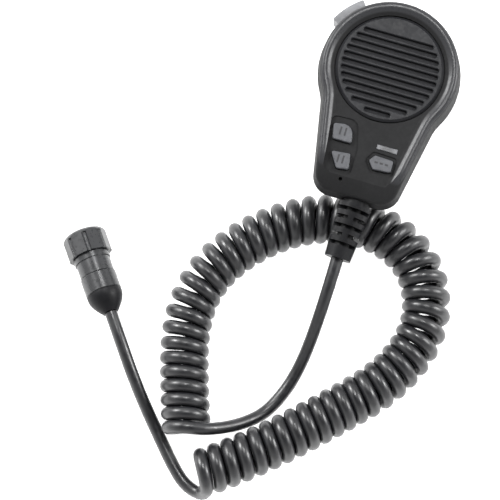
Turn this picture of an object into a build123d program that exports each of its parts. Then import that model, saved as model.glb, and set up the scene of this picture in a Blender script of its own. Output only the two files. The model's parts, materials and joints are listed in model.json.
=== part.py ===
from build123d import *
import math
import os

# A hand microphone with its speaker, keys, curly cord and round plug, lying face up.
# +Z is out of the speaker face, +Y is the long axis towards the speaker end, and Z = 0 is
# the surface that the hanger stud, the cord and the plug lie on. All sizes are millimetres.

# --- driving dimensions: casing -------------------------------------------------------
DISC_Y = 13.85          # centre of the round speaker end
BODY_R = 31.3           # round end's radius at the parting line
CHIN_Y = -45.15         # bottom of the casing
NECK_HALF = 28.2        # half width of the tapering part, measured NECK_DROP below DISC_Y
NECK_DROP = 5.0
CHIN_HALF = 18.15       # half width at the chin, before its corners are rounded
NECK_FILLET = 18.0
CHIN_FILLET = 9.0
STUD_HEIGHT = 7.0       # the stud holds the back this far off the table
BACK_Z = STUD_HEIGHT
PARTING_Z = 30.5        # middle of the joint between the two shells
GASKET_T = 0.8
RIM_Z = 44.0            # crest of the rim round the face
WALL = 2.2
BACK_INSET = 5.0        # how far the back is smaller than the parting line, all round
RIM_INSET = 1.2         # how far the rim is smaller than the parting line
RIM_WIDTH = 5.8         # the rim's width, from its outside to the panel
LIP_SPREAD = 3.0        # how far the rim's inner side leans outwards
RIM_ROUND = 1.9         # rounding of the rim's outside
LIP_ROUND = 2.4         # rounding between its crest and its leaning inner side
PANEL_Z = 42.3          # the panel that carries the keys
CEILING_Z = 39.4        # inner side of the front shell
BACK_BREAK_Y = 6.0      # the back is flat above this and slopes up to the chin below it
BACK_SLOPE = 0.313
FACE_BREAK_Y = -27.0    # below this the face curves down to the chin
NOSE_R = 32.7
REACH = 60.0            # past every side of the casing

# --- driving dimensions: speaker ------------------------------------------------------
GRILLE_R = 23.6
GRILLE_SEAT_R = 24.15
GRILLE_SEAT_Z = 41.2
GRILLE_T = 1.9
SLOT_FIELD_R = 20.8
SLOT_PITCH = 3.12
SLOT_WIDTH = 1.7
SLAT_ROUND = 0.5
SLOT_COUNT = 12
FIRST_SLOT_Y = -20.1    # from the disc's centre
SOUND_HOLE_R = 17.0
SPEAKER_R = 19.5
MAGNET_R = 11.0

# --- driving dimensions: keys ---------------------------------------------------------
KEY_TOP_Z = 43.5
KEY_GAP = 0.3
FLANGE_TOP_Z = CEILING_Z - 0.3
FLANGE_T = 0.9
FLANGE_LIP = 0.9
PLUNGER_Z = 37.2
PLUNGER_R = 1.8
BOARD_T = 1.6
KEY_BOARD_TOP = 33.0
MEMBRANE_T = 0.8

# --- driving dimensions: push-to-talk key ---------------------------------------------
PTT_FROM = 125.4        # degrees round the disc's centre, from +X
PTT_TO = 152.6
PTT_END_GAP = 1.6       # degrees
PTT_R = 34.3
PTT_INNER_R = 29.6
PTT_LOW = 27.0
PTT_HIGH = 38.4
PTT_SIDE_GAP = 0.4
PTT_PIN_AT = 129.5
PTT_PIN_ORBIT = 28.0
PTT_PIN_R = 1.0
RUNNING = 0.05          # radial clearance of a pin in its hole

# --- driving dimensions: cord ---------------------------------------------------------
LEAD_D = 5.5
LEAD_R = LEAD_D / 2
COIL_D = 21.6           # outside of the curly cord's turns
COIL_Z = COIL_D / 2 + 0.05
RELIEF_IN = (2.4, -40.6, 31.4)
RELIEF_TIP = (0.9, -70.5, 28.9)

MIC_LEAD = [
    RELIEF_TIP,
    (0.8, -82.5, 27.6),
    (0.2, -95.5, 21.5),
    (-0.9, -107.7, 11.8),
    (-2.9, -119.6, 4.8),
    (-6.3, -130.4, 2.8),
    (-11.6, -140.7, 2.9),
    (-19.0, -148.0, 7.0),
    (-26.6, -153.4, 13.0),
    (-34.0, -157.0, 17.6),
    (-41.4, -159.0, 18.85),
]
COIL_PLAN = [
    (-41.6, -158.4),
    (-48.8, -138.0),
    (-55.5, -113.0),
    (-53.8, -92.5),
    (-43.2, -74.0),
    (-24.8, -57.6),
    (-4.4, -48.8),
    (16.8, -49.2),
    (34.6, -58.2),
    (44.4, -75.8),
    (44.6, -94.0),
    (35.5, -114.0),
    (18.5, -132.0),
    (0.0, -150.3),
    (-17.0, -165.2),
    (-30.5, -175.3),
]
PLUG_LEAD = [
    (-87.7, -118.5, 14.9),
    (-81.0, -128.0, 15.9),
    (-70.7, -142.2, 12.2),
    (-61.2, -153.6, 5.6),
    (-52.8, -163.0, 2.8),
    (-44.5, -172.6, 2.9),
    (-36.2, -180.6, 3.0),
    (-27.6, -183.2, 5.2),
]

# --- driving dimensions: plug ---------------------------------------------------------
PLUG_PITCH = 8.0        # degrees that the plug's tail is raised, so that its nut's front rests
PLUG_HEADING = -54.7    # degrees from +X, from the plug's front to its tail
PLUG_LENGTH = 38.6
NUT_R = 9.8
NUT_LENGTH = 11.2
NUT_LEAD_IN = 3.0
NUT_FLAT = 9.3          # from the axis to each flat
BARREL_R = 7.6
BACKSHELL_R = 7.95
LOBES = 8

UPWARDS = (Align.CENTER, Align.CENTER, Align.MIN)     # stands a primitive on its place


def polar(radius, degrees):
    """A point round the speaker disc's centre."""
    angle = math.radians(degrees)
    return (radius * math.cos(angle), DISC_Y + radius * math.sin(angle))


# --- shared outlines ------------------------------------------------------------------
def pear(height, inset=0.0):
    """The casing's outline, made smaller all round by inset, as a face at this height."""
    with BuildSketch(Plane.XY.offset(height)) as outline:
        with BuildLine():
            Polyline(
                (-NECK_HALF, DISC_Y - NECK_DROP),
                (-CHIN_HALF, CHIN_Y),
                (CHIN_HALF, CHIN_Y),
                (NECK_HALF, DISC_Y - NECK_DROP),
                close=True,
            )
        make_face()
        with Locations((0, DISC_Y)):
            Circle(BODY_R)
        fillet(outline.vertices().group_by(Axis.Y)[1], NECK_FILLET)
        fillet(outline.vertices().group_by(Axis.Y)[0], CHIN_FILLET)
        if inset:
            offset(amount=-inset)
    return outline.sketch


def side_form(shrink=0.0):
    """The casing seen from its side, as a slab across it, thinner all round by shrink."""
    with BuildPart() as slab:
        with BuildSketch(Plane.YZ):
            with BuildLine():
                front = RIM_Z - shrink
                nose = JernArc((FACE_BREAK_Y, front), (-1, 0), NOSE_R - shrink, 55)
                low_y = (nose @ 1).X
                back_low = BACK_Z + shrink + (BACK_BREAK_Y - low_y) * BACK_SLOPE
                Polyline(
                    nose @ 1,
                    (low_y, back_low),
                    (BACK_BREAK_Y, BACK_Z + shrink),
                    (REACH, BACK_Z + shrink),
                    (REACH, front),
                    nose @ 0,
                )
            make_face()
        extrude(amount=REACH, both=True)
    return slab.part


def ptt_pocket():
    """The room that the push-to-talk key moves in, cut through both shells."""
    with BuildPart() as pocket:
        low = PTT_LOW - PTT_SIDE_GAP
        high = PTT_HIGH + PTT_SIDE_GAP
        with BuildSketch(Plane.XY.offset(low)):
            with BuildLine():
                sector_line(24.0, 45.0, PTT_FROM - PTT_END_GAP, PTT_TO + PTT_END_GAP)
            make_face()
        extrude(amount=high - low)
    return pocket.part


def sector_line(inner, outer, start, end):
    """The closed outline of a piece of a ring round the disc's centre."""
    middle = (start + end) / 2
    ThreePointArc(polar(outer, start), polar(outer, middle), polar(outer, end))
    Line(polar(outer, end), polar(inner, end))
    ThreePointArc(polar(inner, end), polar(inner, middle), polar(inner, start))
    Line(polar(inner, start), polar(outer, start))


# --- keys' outlines -------------------------------------------------------------------
# Each corner is (x, y, rounding). The up key is a D, the down key narrows towards the chin,
# and the menu key is a wide bar whose left end comes to a blunt point.
KEYS = {
    "up_key": [
        (-15.2, -22.8, 0.9),
        (-16.8, -16.0, 1.2),
        (-8.2, -14.6, 4.4),
        (-6.8, -22.8, 0.9),
    ],
    "down_key": [
        (-14.5, -28.1, 0.9),
        (-5.8, -27.2, 0.9),
        (-4.8, -34.2, 0.9),
        (-10.2, -35.0, 0.9),
    ],
    "menu_key": [
        (2.5, -27.7, 1.1),
        (4.6, -24.9, 1.1),
        (13.0, -25.3, 0.9),
        (13.1, -30.6, 0.9),
        (5.2, -31.2, 1.1),
    ],
}
DOMES = {"up_key": (-11.4, -19.2), "down_key": (-9.0, -31.0), "menu_key": (8.4, -28.1)}


# The shallow wells that the keys stand in, one for the pair and one for the menu key.
KEY_WELLS = [
    [
        (-18.4, -12.4, 2.6),
        (-6.6, -11.9, 4.4),
        (-3.3, -24.5, 12.0),
        (-3.5, -36.6, 2.2),
        (-15.8, -36.6, 2.2),
    ],
    [
        (0.6, -27.7, 1.8),
        (3.4, -23.2, 1.8),
        (14.4, -23.6, 1.6),
        (14.5, -32.2, 1.6),
        (4.4, -32.8, 1.8),
    ],
]
KEY_WELL_DEPTH = 0.5


def outline_face(outline, height, grow=0.0):
    """An outline of (x, y, rounding) corners as a face, made larger all round by grow."""
    corners = [(x, y) for x, y, rounding in outline]
    roundings = [rounding for x, y, rounding in outline]
    with BuildSketch(Plane.XY.offset(height)) as face:
        with BuildLine():
            FilletPolyline(*corners, radius=roundings, close=True)
        make_face()
        if grow:
            offset(amount=grow)
    return face.sketch


# --- casing ---------------------------------------------------------------------------
CASE_SCREWS = [(0.0, 36.65), (17.2, -6.3), (-17.2, -6.3), (13.4, -38.6), (-13.4, -38.6)]
SCREW_SEATS = [10.0, 13.6, 13.6, 23.4, 23.4]
BOSS_R = 2.7
SCREW_R = 1.1
SCREW_HEAD_R = 2.1
SCREW_HEAD_T = 1.5
SCREW_WELL_R = 2.35
SCREW_REACH = 5.5       # into the front shell, past the parting line
MIC_HOLE = (-7.1, -38.8)
MIC_HOLE_R = 0.8
LEGEND_AT = (8.8, -20.8)
LEGEND_SIZE = (9.2, 2.1)
LEGEND_DEPTH = 0.7
KEY_BOARD_SCREWS = [(2.0, -15.0), (-1.2, -32.8), (13.0, -15.5)]
KEY_POST_R = 2.0
SMALL_SCREW_R = 0.8
SMALL_SCREW_REACH = 4.0
SMALL_HEAD_R = 1.6
SMALL_HEAD_T = 1.1
PIN_SEAT = 2.2          # how deep the push-to-talk pin sits in each shell
STUD_Y = 12.0
STUD_HEAD_R = 8.0
STUD_HEAD_T = 2.8
STUD_NECK_R = 4.0
STUD_SCREW_R = 1.5
MAIN_BOARD_Z = 20.0
MAIN_BOARD_SCREWS = [(11.0, 26.0), (-11.0, 26.0), (11.0, -5.0), (-11.0, -5.0)]
MAIN_POST_R = 2.2
MAIN_SCREW_R = 0.9
SWITCH_AT = 146.0       # degrees round the disc's centre
SWITCH_ORBIT = 23.7
SWITCH_Z = 29.0


def relief_plane(distance=0.0):
    """The strain relief's cross-section, this far from its inner end towards its tip."""
    start = Vector(*RELIEF_IN)
    along = (Vector(*RELIEF_TIP) - start).normalized()
    return Plane(origin=start + along * distance, x_dir=(1, 0, 0), z_dir=along)


RELIEF_NECK_R = 6.1     # where the shells grip it
RELIEF_FLANGE_R = 7.2   # its flange inside the chin
RELIEF_FLANGE = (0.5, 2.1)


def relief_passage():
    """The hole through the chin that grips the strain relief's neck, with room for its flange."""
    start, end = RELIEF_FLANGE
    with BuildPart() as passage:
        with BuildSketch(relief_plane(-3.0)):
            Circle(RELIEF_NECK_R)
        extrude(amount=14.0)
        with BuildSketch(relief_plane(start - 0.5)):
            Circle(RELIEF_FLANGE_R + 0.1)
        extrude(amount=end - start + 0.7)
    return passage.part


def cavity_form(low, low_inset, high, high_inset):
    """The casing's inside between two heights."""
    with BuildPart() as cavity:
        loft([pear(low, low_inset).face(), pear(high, high_inset).face()])
        add(side_form(WALL), mode=Mode.INTERSECT)
    return cavity.part


def make_front_shell():
    joint = PARTING_Z + GASKET_T / 2
    with BuildPart() as front_shell:
        loft([pear(joint).face(), pear(RIM_Z, RIM_INSET).face()])
        # panel, with the rim's inner side leaning away from it
        inside = RIM_INSET + RIM_WIDTH
        loft(
            [pear(PANEL_Z, inside).face(), pear(RIM_Z, inside - LIP_SPREAD).face()],
            mode=Mode.SUBTRACT,
        )
        crest = front_shell.faces().sort_by(Axis.Z)[-1]
        fillet(crest.inner_wires()[0].edges(), LIP_ROUND)
        # the curved chin, and the rim's rounded outside
        add(side_form(), mode=Mode.INTERSECT)
        fillet(front_shell.edges().filter_by(is_rim_outside), RIM_ROUND)
        # speaker seat
        with Locations((0, DISC_Y, GRILLE_SEAT_Z)):
            Cylinder(GRILLE_SEAT_R, 10, align=UPWARDS, mode=Mode.SUBTRACT)
        # inside, with the posts that the screws go into
        add(cavity_form(joint - 0.01, WALL, CEILING_Z, WALL + 1.4), mode=Mode.SUBTRACT)
        with Locations(*[(x, y, joint) for x, y in CASE_SCREWS]):
            Cylinder(BOSS_R, CEILING_Z - joint, align=UPWARDS)
        with Locations(*[(x, y, joint) for x, y in CASE_SCREWS]):
            Cylinder(SCREW_R, SCREW_REACH, align=UPWARDS, mode=Mode.SUBTRACT)
        with Locations(*[(x, y, KEY_BOARD_TOP) for x, y in KEY_BOARD_SCREWS]):
            Cylinder(KEY_POST_R, CEILING_Z - KEY_BOARD_TOP, align=UPWARDS)
            Cylinder(SMALL_SCREW_R, SMALL_SCREW_REACH, align=UPWARDS, mode=Mode.SUBTRACT)
        # speaker hole, key wells and openings, legend recess and microphone hole
        with Locations((0, DISC_Y, CEILING_Z)):
            Cylinder(SOUND_HOLE_R, 10, mode=Mode.SUBTRACT)
        for well in KEY_WELLS:
            extrude(outline_face(well, PANEL_Z - KEY_WELL_DEPTH), amount=8, mode=Mode.SUBTRACT)
        for name in KEYS:
            opening = outline_face(KEYS[name], CEILING_Z - 1, KEY_GAP)
            extrude(opening, amount=8, mode=Mode.SUBTRACT)
        with Locations((*LEGEND_AT, PANEL_Z)):
            Box(*LEGEND_SIZE, 2 * LEGEND_DEPTH, mode=Mode.SUBTRACT)
        with Locations((*MIC_HOLE, PARTING_Z)):
            Cylinder(MIC_HOLE_R, 20, align=UPWARDS, mode=Mode.SUBTRACT)
        add(relief_passage(), mode=Mode.SUBTRACT)
        add(ptt_pocket(), mode=Mode.SUBTRACT)
        # upper seat of the push-to-talk key's pin
        with Locations((*polar(PTT_PIN_ORBIT, PTT_PIN_AT), PTT_HIGH)):
            Cylinder(PTT_PIN_R, PIN_SEAT, mode=Mode.SUBTRACT)
    front_shell.part.label = "front_shell"
    return front_shell.part


def is_rim_outside(edge):
    """True for the edges round the outside of the face, from the rim down to the chin."""
    middle = edge @ 0.5
    outside = not pear(0, RIM_INSET + 2).face().is_inside(Vector(middle.X, middle.Y, 0))
    across = abs((edge % 0.5).X) > 0.99 and middle.Y > CHIN_Y + 5
    return outside and middle.Z > PTT_HIGH and abs((edge % 0.5).Z) < 0.8 and not across


def make_rear_shell():
    joint = PARTING_Z - GASKET_T / 2
    with BuildPart() as outer:
        loft([pear(BACK_Z, BACK_INSET).face(), pear(joint).face()])
        add(side_form(), mode=Mode.INTERSECT)
    with BuildPart() as rear_shell:
        add(outer.part)
        back_edges = rear_shell.edges().filter_by(is_back_edge)
        fillet(back_edges, 1.8)
        rounded = rear_shell.part
        add(cavity_form(BACK_Z, BACK_INSET + WALL, joint + 0.01, WALL), mode=Mode.SUBTRACT)
        # posts for the case screws, the main board, the switch, the pin and the stud's screw
        with Locations(*[(x, y, 0) for x, y in CASE_SCREWS]):
            Cylinder(BOSS_R, joint, align=UPWARDS)
        with Locations(*[(x, y, 0) for x, y in MAIN_BOARD_SCREWS]):
            Cylinder(MAIN_POST_R, MAIN_BOARD_Z, align=UPWARDS)
        with Locations((*polar(SWITCH_ORBIT, SWITCH_AT), 0)):
            Cylinder(2.4, SWITCH_Z, align=UPWARDS)
        with Locations((*polar(PTT_PIN_ORBIT, PTT_PIN_AT), 18.0)):
            Cylinder(2.3, PTT_LOW - PTT_SIDE_GAP - 18.0, align=UPWARDS)
        with Locations((0, STUD_Y, 0)):
            Cylinder(4.6, BACK_Z + WALL + 1.8, align=UPWARDS)
        add(rounded, mode=Mode.INTERSECT)
        # holes
        for (x, y), seat in zip(CASE_SCREWS, SCREW_SEATS):
            with Locations((x, y, 0)):
                Cylinder(SCREW_WELL_R, seat, align=UPWARDS, mode=Mode.SUBTRACT)
                Cylinder(SCREW_R + 0.1, joint + 1, align=UPWARDS, mode=Mode.SUBTRACT)
        with Locations(*[(x, y, MAIN_BOARD_Z) for x, y in MAIN_BOARD_SCREWS]):
            Cylinder(MAIN_SCREW_R, 8, mode=Mode.SUBTRACT)
        with Locations((0, STUD_Y, 0)):
            Cylinder(STUD_SCREW_R, 20, align=UPWARDS, mode=Mode.SUBTRACT)
        add(relief_passage(), mode=Mode.SUBTRACT)
        add(ptt_pocket(), mode=Mode.SUBTRACT)
        with Locations((*polar(PTT_PIN_ORBIT, PTT_PIN_AT), PTT_LOW - PTT_SIDE_GAP)):
            Cylinder(PTT_PIN_R, 2 * PIN_SEAT, mode=Mode.SUBTRACT)
    rear_shell.part.label = "rear_shell"
    return rear_shell.part


def is_back_edge(edge):
    """True for the edges round the flat back and its slope, but not the break between them."""
    middle = edge @ 0.5
    across = abs((edge % 0.5).X) > 0.99
    on_flat = abs(middle.Z - BACK_Z) < 0.01
    slope_z = BACK_Z + (BACK_BREAK_Y - middle.Y) * BACK_SLOPE
    on_slope = middle.Y < BACK_BREAK_Y and abs(middle.Z - slope_z) < 0.01
    at_break = across and middle.Y > CHIN_Y + 5
    return (on_flat or on_slope) and not at_break


def make_case_gasket():
    low = PARTING_Z - GASKET_T / 2
    with BuildPart() as case_gasket:
        extrude(pear(low, 0.45), amount=GASKET_T)
        extrude(pear(low, 1.75), amount=GASKET_T, mode=Mode.SUBTRACT)
        add(relief_passage(), mode=Mode.SUBTRACT)
        add(ptt_pocket(), mode=Mode.SUBTRACT)
    case_gasket.part.label = "case_gasket"
    return case_gasket.part


def make_case_screws():
    top = PARTING_Z + GASKET_T / 2 + SCREW_REACH
    with BuildPart() as case_screws:
        for (x, y), seat in zip(CASE_SCREWS, SCREW_SEATS):
            with Locations((x, y, seat - SCREW_HEAD_T)):
                Cylinder(SCREW_HEAD_R, SCREW_HEAD_T, align=UPWARDS)
            with Locations((x, y, seat)):
                Cylinder(SCREW_R, top - seat, align=UPWARDS)
            with Locations((x, y, seat - SCREW_HEAD_T)):
                Box(2.8, 0.6, 1.2, mode=Mode.SUBTRACT)
                Box(0.6, 2.8, 1.2, mode=Mode.SUBTRACT)
    case_screws.part.label = "case_screws"
    return case_screws.part


def make_hanger_stud():
    with BuildPart() as hanger_stud:
        with BuildSketch(Plane.XY):
            with Locations((0, STUD_Y)):
                Circle(STUD_HEAD_R)
        extrude(amount=STUD_HEAD_T)
        fillet(hanger_stud.edges().group_by(Axis.Z)[-1], 1.0)
        chamfer(hanger_stud.edges().group_by(Axis.Z)[0], 0.4)
        with BuildSketch(Plane.XY.offset(STUD_HEAD_T)):
            with Locations((0, STUD_Y)):
                Circle(STUD_NECK_R)
        extrude(amount=BACK_Z - STUD_HEAD_T)
        with BuildSketch(Plane.XY.offset(STUD_HEAD_T - 1)):
            with Locations((0, STUD_Y)):
                Circle(STUD_SCREW_R)
        extrude(amount=BACK_Z, mode=Mode.SUBTRACT)
    hanger_stud.part.label = "hanger_stud"
    return hanger_stud.part


def make_stud_screw():
    seat = BACK_Z + WALL + 1.8
    with BuildPart() as stud_screw:
        with Locations((0, STUD_Y, STUD_HEAD_T - 0.8)):
            Cylinder(STUD_SCREW_R, seat - STUD_HEAD_T + 0.8, align=UPWARDS)
        with Locations((0, STUD_Y, seat)):
            Cylinder(3.0, 1.8, align=UPWARDS)
        with Locations((0, STUD_Y, seat + 1.8)):
            Box(4.0, 0.8, 1.6, mode=Mode.SUBTRACT)
            Box(0.8, 4.0, 1.6, mode=Mode.SUBTRACT)
    stud_screw.part.label = "stud_screw"
    return stud_screw.part


# --- speaker --------------------------------------------------------------------------
CLOTH_T = 0.4


def make_speaker_grille():
    with BuildPart() as speaker_grille:
        with BuildSketch(Plane.XY.offset(GRILLE_SEAT_Z)):
            with Locations((0, DISC_Y)):
                Circle(GRILLE_R)
        extrude(amount=GRILLE_T)
        chamfer(speaker_grille.edges().group_by(Axis.Z)[-1], 1.0)
        with BuildSketch(Plane.XY.offset(GRILLE_SEAT_Z)):
            for i in range(SLOT_COUNT):
                rise = FIRST_SLOT_Y + i * SLOT_PITCH
                with Locations((0, DISC_Y + rise)):
                    half = math.sqrt(SLOT_FIELD_R**2 - rise**2)
                    SlotOverall(2 * half + 1.0, SLOT_WIDTH)
        extrude(amount=GRILLE_T, mode=Mode.SUBTRACT)
        face = speaker_grille.faces().sort_by(Axis.Z)[-1]
        for slot in face.inner_wires():
            fillet(slot.edges(), SLAT_ROUND)
        with BuildSketch(Plane.XY.offset(GRILLE_SEAT_Z)):
            with Locations((0, DISC_Y)):
                Circle(GRILLE_R - 1.6)
        extrude(amount=CLOTH_T, mode=Mode.SUBTRACT)
    speaker_grille.part.label = "speaker_grille"
    return speaker_grille.part


def make_grille_cloth():
    with BuildPart() as grille_cloth:
        with Locations((0, DISC_Y, GRILLE_SEAT_Z)):
            Cylinder(GRILLE_R - 1.7, CLOTH_T, align=UPWARDS)
    grille_cloth.part.label = "grille_cloth"
    return grille_cloth.part


SPEAKER_TOP = CEILING_Z - 0.8
BASKET_Z = 31.0


def speaker_axis():
    """The plane through the speaker's axis: its X is the radius and its Y is the height."""
    return Plane(origin=(0, DISC_Y, 0), x_dir=(1, 0, 0), z_dir=(0, -1, 0))


def turned(points):
    """A solid turned round the speaker's axis from an outline of (radius, height) points."""
    with BuildPart() as body:
        with BuildSketch(speaker_axis()):
            with BuildLine():
                Polyline(*points, close=True)
            make_face()
        revolve(axis=Axis((0, DISC_Y, 0), (0, 0, 1)))
    return body.part


def make_speaker_gasket():
    part = turned([
        (SOUND_HOLE_R + 0.2, SPEAKER_TOP),
        (SPEAKER_R, SPEAKER_TOP),
        (SPEAKER_R, CEILING_Z),
        (SOUND_HOLE_R + 0.2, CEILING_Z),
    ])
    part.label = "speaker_gasket"
    return part


def make_speaker_frame():
    flange = SPEAKER_TOP - 0.8
    part = turned([
        (SPEAKER_R - 2.4, SPEAKER_TOP),
        (SPEAKER_R, SPEAKER_TOP),
        (SPEAKER_R, flange),
        (SPEAKER_R - 1.6, flange),
        (MAGNET_R + 0.8, BASKET_Z),
        (5.2, BASKET_Z),
        (5.2, BASKET_Z + 0.6),
        (MAGNET_R + 0.4, BASKET_Z + 0.6),
        (SPEAKER_R - 2.4, flange),
    ])
    part.label = "speaker_frame"
    return part


def make_speaker_cone():
    edge = SPEAKER_R - 2.4
    part = turned([
        (0, 34.6),
        (2.6, 34.2),
        (4.6, 33.2),
        (4.6, BASKET_Z + 0.8),
        (5.0, BASKET_Z + 0.8),
        (5.0, 33.0),
        (edge - 2.6, 36.7),
        (edge - 1.4, 37.6),
        (edge, SPEAKER_TOP),
        (edge - 1.6, SPEAKER_TOP),
        (edge - 3.0, 37.2),
        (5.0, 33.7),
        (2.8, 34.6),
        (0, 35.0),
    ])
    part.label = "speaker_cone"
    return part


def make_speaker_magnet():
    with BuildPart() as speaker_magnet:
        with Locations((0, DISC_Y, BASKET_Z - 4.2)):
            Cylinder(MAGNET_R, 4.2, align=UPWARDS)
        chamfer(speaker_magnet.edges().group_by(Axis.Z)[0], 0.5)
        with Locations((0, DISC_Y, BASKET_Z)):
            Cylinder(4.2, 2.0, align=UPWARDS)
    speaker_magnet.part.label = "speaker_magnet"
    return speaker_magnet.part


# --- keys and their board -------------------------------------------------------------
DOME_R = 3.0
DOME_TOP_R = 2.0
DOME_WALL = 0.45


def make_key(name):
    with BuildPart() as key:
        top = outline_face(KEYS[name], FLANGE_TOP_Z - 0.01)
        extrude(top, amount=KEY_TOP_Z - FLANGE_TOP_Z + 0.01)
        fillet(key.edges().group_by(Axis.Z)[-1], 0.45)
        flange = outline_face(KEYS[name], FLANGE_TOP_Z - FLANGE_T, FLANGE_LIP)
        extrude(flange, amount=FLANGE_T)
        with Locations((*DOMES[name], PLUNGER_Z)):
            Cylinder(PLUNGER_R, FLANGE_TOP_Z - PLUNGER_Z - 0.1, align=UPWARDS)
    key.part.label = name
    return key.part


def make_dome(name):
    """The hollow rubber dome that lifts a key again."""
    x, y = DOMES[name]
    base = KEY_BOARD_TOP
    inner_top = PLUNGER_Z - DOME_WALL
    with BuildPart() as dome:
        with BuildSketch(Plane(origin=(x, y, 0), x_dir=(1, 0, 0), z_dir=(0, -1, 0))):
            with BuildLine():
                Polyline(
                    (DOME_R - DOME_WALL, base),
                    (DOME_R, base),
                    (DOME_R, base + MEMBRANE_T),
                    (DOME_TOP_R, PLUNGER_Z),
                    (0, PLUNGER_Z),
                    (0, inner_top),
                    (DOME_TOP_R - DOME_WALL, inner_top),
                    (DOME_R - DOME_WALL, base + MEMBRANE_T),
                    close=True,
                )
            make_face()
        revolve(axis=Axis((x, y, 0), (0, 0, 1)))
    dome.part.label = name.replace("key", "dome")
    return dome.part


def board_face(height):
    """The key board's outline."""
    with BuildSketch(Plane.XY.offset(height)) as face:
        with BuildLine():
            Polyline((-15.4, -11.2), (15.4, -11.2), (14.6, -34.2), (-14.6, -34.2), close=True)
        make_face()
        fillet(face.vertices(), 1.5)
    return face.sketch


def make_key_board():
    low = KEY_BOARD_TOP - BOARD_T
    with BuildPart() as key_board:
        extrude(board_face(low), amount=BOARD_T)
        with Locations(*[(x, y, low) for x, y in KEY_BOARD_SCREWS]):
            Cylinder(SMALL_SCREW_R, 10, mode=Mode.SUBTRACT)
    key_board.part.label = "key_board"
    return key_board.part


def make_key_contacts():
    with BuildPart() as key_contacts:
        with Locations(*[(x, y, KEY_BOARD_TOP) for x, y in DOMES.values()]):
            Cylinder(1.5, 0.15, align=UPWARDS)
    key_contacts.part.label = "key_contacts"
    return key_contacts.part


def make_key_membrane():
    with BuildPart() as key_membrane:
        extrude(board_face(KEY_BOARD_TOP), amount=MEMBRANE_T)
        with Locations(*[(x, y, KEY_BOARD_TOP) for x, y in DOMES.values()]):
            Cylinder(DOME_R, 10, mode=Mode.SUBTRACT)
        with Locations(*[(x, y, KEY_BOARD_TOP) for x, y in KEY_BOARD_SCREWS]):
            Cylinder(KEY_POST_R, 10, mode=Mode.SUBTRACT)
    key_membrane.part.label = "key_membrane"
    return key_membrane.part


def make_key_board_screws():
    low = KEY_BOARD_TOP - BOARD_T
    with BuildPart() as key_board_screws:
        with Locations(*[(x, y, low - SMALL_HEAD_T) for x, y in KEY_BOARD_SCREWS]):
            Cylinder(SMALL_HEAD_R, SMALL_HEAD_T, align=UPWARDS)
            Cylinder(SMALL_SCREW_R, SMALL_HEAD_T + BOARD_T + SMALL_SCREW_REACH - 0.4,
                     align=UPWARDS)
    key_board_screws.part.label = "key_board_screws"
    return key_board_screws.part


def make_legend_bar():
    with BuildPart() as legend_bar:
        with Locations((*LEGEND_AT, PANEL_Z - LEGEND_DEPTH)):
            Box(*LEGEND_SIZE, LEGEND_DEPTH + 0.3, align=UPWARDS)
        fillet(legend_bar.edges().group_by(Axis.Z)[-1], 0.22)
    legend_bar.part.label = "legend_bar"
    return legend_bar.part


# --- microphone capsule ---------------------------------------------------------------
CAPSULE_R = 2.0
BOOT_R = 2.7
CAPSULE_Z = 34.0


def make_mic_capsule():
    with BuildPart() as mic_capsule:
        with Locations((*MIC_HOLE, CAPSULE_Z)):
            Cylinder(CAPSULE_R, 3.0, align=UPWARDS)
        chamfer(mic_capsule.edges().group_by(Axis.Z)[-1], 0.3)
    mic_capsule.part.label = "mic_capsule"
    return mic_capsule.part


def make_mic_boot():
    with BuildPart() as mic_boot:
        with Locations((*MIC_HOLE, CAPSULE_Z - 0.3)):
            Cylinder(BOOT_R, 4.1, align=UPWARDS)
        with Locations((*MIC_HOLE, CAPSULE_Z - 1)):
            Cylinder(CAPSULE_R, 4.0, align=UPWARDS, mode=Mode.SUBTRACT)
        with Locations((*MIC_HOLE, CAPSULE_Z)):
            Cylinder(MIC_HOLE_R, 10, align=UPWARDS, mode=Mode.SUBTRACT)
    mic_boot.part.label = "mic_boot"
    return mic_boot.part


# --- main board -----------------------------------------------------------------------
MAIN_TOP = MAIN_BOARD_Z + BOARD_T
CONNECTOR_AT = (3.0, -6.4)
CHIPS = [(0.0, 12.0, 8.0, 8.0), (-4.5, 0.5, 6.0, 4.6), (6.5, 3.0, 4.0, 5.5), (7.5, 20.5, 5.0, 3.4)]


def make_main_board():
    with BuildPart() as main_board:
        with BuildSketch(Plane.XY.offset(MAIN_BOARD_Z)) as face:
            with Locations((0, 10.0)):
                Rectangle(27.2, 38.0)
            fillet(face.vertices(), 2.0)
        extrude(amount=BOARD_T)
        with Locations(*[(x, y, MAIN_BOARD_Z) for x, y in MAIN_BOARD_SCREWS]):
            Cylinder(MAIN_SCREW_R, 10, mode=Mode.SUBTRACT)
    main_board.part.label = "main_board"
    return main_board.part


def make_board_chips():
    with BuildPart() as board_chips:
        for x, y, wide, deep in CHIPS:
            with Locations((x, y, MAIN_TOP)):
                Box(wide, deep, 1.4, align=UPWARDS)
    board_chips.part.label = "board_chips"
    return board_chips.part


def make_main_board_screws():
    with BuildPart() as main_board_screws:
        with Locations(*[(x, y, MAIN_TOP) for x, y in MAIN_BOARD_SCREWS]):
            Cylinder(1.7, 1.2, align=UPWARDS)
        with Locations(*[(x, y, MAIN_TOP - 4.8) for x, y in MAIN_BOARD_SCREWS]):
            Cylinder(MAIN_SCREW_R, 4.8, align=UPWARDS)
    main_board_screws.part.label = "main_board_screws"
    return main_board_screws.part


def make_lead_connector():
    with BuildPart() as lead_connector:
        with Locations((*CONNECTOR_AT, MAIN_TOP)):
            Box(8.0, 4.4, 4.4, align=UPWARDS)
    lead_connector.part.label = "lead_connector"
    return lead_connector.part


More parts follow.
